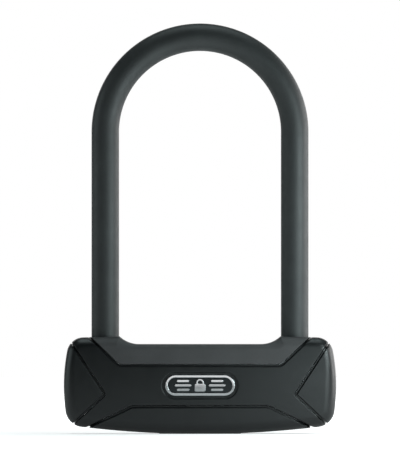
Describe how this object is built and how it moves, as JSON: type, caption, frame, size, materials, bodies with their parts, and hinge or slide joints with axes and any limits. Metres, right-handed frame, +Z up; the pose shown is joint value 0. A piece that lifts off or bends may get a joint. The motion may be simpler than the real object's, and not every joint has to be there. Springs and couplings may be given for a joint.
{
  "type": "u lock",
  "caption": "Compact bicycle U lock: coated round steel shackle in a crossbar of black plastic covers round a steel case, with a key cylinder that drives a bolt into each foot.",
  "frame": {"origin": "middle of the flat foot of the crossbar, under the key cylinder", "axes": "+Z up along the shackle's legs, -Y towards the front with the badge, +X to the right seen from the front"},
  "size_m": [0.1392, 0.0363, 0.2098],
  "materials": {
    "cover_plastic": "fine-grained black moulded plastic with a soft sheen",
    "saddle_plastic": "dull dark grey moulded plastic",
    "shackle_coat": "matte dark grey soft coat",
    "chrome": "polished",
    "badge_metal": "dark satin plate with bright raised signs",
    "rubber": "black rubber",
    "steel": "zinc-plated satin steel",
    "hardened_steel": "dark hardened steel",
    "cast_alloy": "as cast, dull",
    "brass": "machined"
  },
  "bodies": {
    "lock_body": {"front_cover": "cover_plastic", "rear_cover": "cover_plastic", "saddle_cover": "saddle_plastic", "base_cover": "cover_plastic", "end_cap_right": "cover_plastic", "end_cap_left": "cover_plastic", "badge_ring": "chrome", "badge_plate": "badge_metal", "leg_seal_left": "rubber", "leg_seal_right": "rubber", "lock_case": "steel", "case_lid": "hardened_steel", "foot_block_right": "cast_alloy", "foot_block_left": "cast_alloy", "cylinder_block": "cast_alloy", "lid_screw_1": "hardened_steel", "lid_screw_2": "hardened_steel", "lid_screw_3": "hardened_steel", "lid_screw_4": "hardened_steel", "cylinder_housing": "brass", "housing_pin": "hardened_steel", "keyhole_frame": "cover_plastic", "shutter_spring": "steel"},
    "shackle": {"shackle_bar": "steel", "shackle_sleeve": "shackle_coat"},
    "plug": {"plug_sleeve": "brass", "keyhole_plate": "hardened_steel", "detainer_disc_1": "brass", "detainer_disc_2": "brass", "detainer_disc_3": "brass", "detainer_disc_4": "brass", "detainer_disc_5": "brass", "detainer_disc_6": "brass", "detainer_disc_7": "brass", "detainer_disc_8": "brass", "disc_spacer_1": "steel", "disc_spacer_2": "steel", "disc_spacer_3": "steel", "disc_spacer_4": "steel", "disc_spacer_5": "steel", "disc_spacer_6": "steel", "disc_spacer_7": "steel", "sidebar": "steel", "plug_circlip": "steel", "bolt_cam": "hardened_steel", "cam_screw": "steel"},
    "right_bolt": {"bolt_right": "hardened_steel"},
    "left_bolt": {"bolt_left": "hardened_steel"},
    "shutter": {"keyhole_shutter": "cover_plastic"}
  },
  "joints": [
    {"name": "shackle_lift", "type": "slide", "parent": "lock_body", "child": "shackle", "axis": [0, 0, 1], "range_m": [0, 0.045]},
    {"name": "plug_turn", "type": "hinge", "parent": "lock_body", "child": "plug", "pos_m": [0, 0, 0.014], "axis": [0, 0, 1], "range_deg": [0, 90]},
    {"name": "bolt_right_throw", "type": "slide", "parent": "lock_body", "child": "right_bolt", "axis": [1, 0, 0], "range_m": [0, 0.005]},
    {"name": "bolt_left_throw", "type": "slide", "parent": "lock_body", "child": "left_bolt", "axis": [-1, 0, 0], "range_m": [0, 0.005]},
    {"name": "shutter_slide", "type": "slide", "parent": "lock_body", "child": "shutter", "axis": [1, 0, 0], "range_m": [0, 0.011], "stiffness_N_per_m": 20, "springref_m": -0.005, "deforming": ["shutter_spring"]}
  ],
  "couplings": [
    {"joint": "plug_turn", "follows": "bolt_right_throw", "rad_per_m": 314.16},
    {"joint": "bolt_left_throw", "follows": "bolt_right_throw", "ratio": 1}
  ]
}
